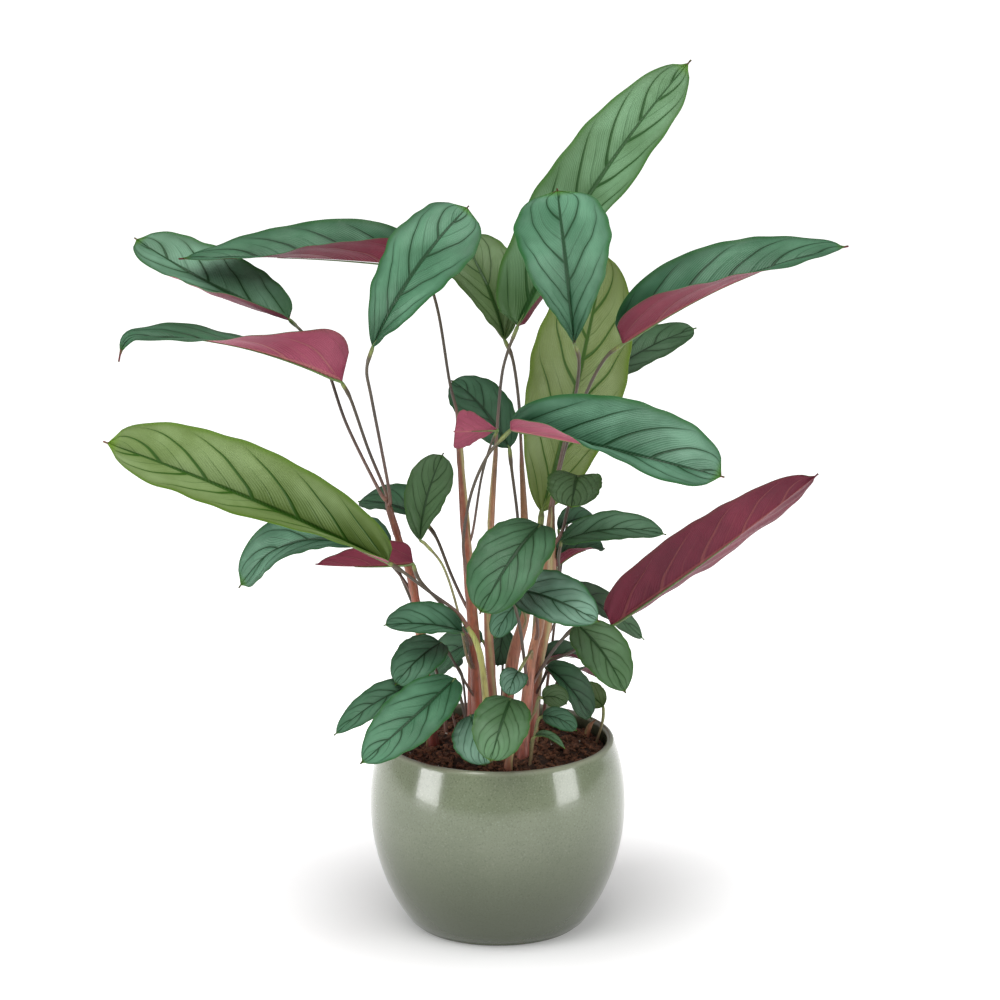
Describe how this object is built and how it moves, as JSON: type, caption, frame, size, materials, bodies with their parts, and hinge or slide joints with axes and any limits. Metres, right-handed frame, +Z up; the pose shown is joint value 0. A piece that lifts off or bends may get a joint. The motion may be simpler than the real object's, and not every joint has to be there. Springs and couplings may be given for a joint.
{
  "type": "potted ctenanthe",
  "caption": "Bushy potted house plant with long silver-green leaves, plum undersides and reddish stems in a rounded sage-glazed ceramic pot.",
  "frame": {"origin": "centre of the pot's flat underside, on the pot's axis", "axes": "+Z up along the pot's axis; the plant's front, as seen in the picture, faces -Y; +X is to the viewer's right"},
  "size_m": [0.6215, 0.355, 0.7454],
  "materials": {
    "glaze": "gloss",
    "soil": "matte",
    "stem_red": "satin",
    "stem_pale": "satin",
    "leaf_silver": "satin",
    "leaf_young": "satin",
    "leaf_turned": "satin"
  },
  "bodies": {
    "root": {"pot": "glaze", "soil": "soil", "stem_left": "stem_red", "stem_tall": "stem_red", "stem_topmost": "stem_red", "stem_centre": "stem_red", "stem_front_right": "stem_red", "stem_right": "stem_red", "stem_pale": "stem_pale", "stem_rear": "stem_red", "shoot_front": "stem_red", "shoot_rim": "stem_red", "leaf_topmost": "leaf_silver", "leaf_upper_right": "leaf_silver", "leaf_upper_left": "leaf_silver", "leaf_far_left": "leaf_silver", "leaf_folded_left": "leaf_silver", "leaf_round_centre": "leaf_silver", "leaf_behind_centre": "leaf_silver", "leaf_facing_centre": "leaf_silver", "leaf_young_back": "leaf_young", "leaf_back_right": "leaf_silver", "leaf_middle_right": "leaf_silver", "leaf_turned_middle": "leaf_silver", "leaf_dark_middle": "leaf_silver", "leaf_curled_small": "leaf_silver", "leaf_young_left": "leaf_young", "leaf_drooping_left": "leaf_silver", "leaf_turned_left": "leaf_turned", "leaf_shaded_left": "leaf_silver", "leaf_upright_left": "leaf_silver", "leaf_oval_front": "leaf_silver", "leaf_oval_right": "leaf_silver", "leaf_mid_right": "leaf_silver", "leaf_inner_right": "leaf_silver", "leaf_inner_low_right": "leaf_silver", "leaf_turned_right": "leaf_turned", "leaf_low_right": "leaf_silver", "leaf_shaded_right": "leaf_silver", "leaf_low_left": "leaf_silver", "leaf_low_left_round": "leaf_silver", "leaf_behind_stems": "leaf_silver", "leaf_rim_left": "leaf_silver", "leaf_rim_front_left": "leaf_silver", "leaf_rim_pale": "leaf_silver", "leaf_rim_round": "leaf_silver", "leaf_seedling_front": "leaf_silver", "leaf_seedling_centre": "leaf_silver", "leaf_base_back": "leaf_silver", "leaf_base_right": "leaf_silver", "leaf_base_small": "leaf_silver", "leaf_base_streaked": "leaf_silver", "leaf_rim_bright": "leaf_young", "leaf_rim_narrow": "leaf_silver", "leaf_inner_dark": "leaf_silver", "leaf_back_centre": "leaf_silver", "leaf_back_left": "leaf_silver", "leaf_back_tall": "leaf_silver", "leaf_back_low_left": "leaf_silver", "leaf_back_low_right": "leaf_silver"}
  },
  "joints": []
}
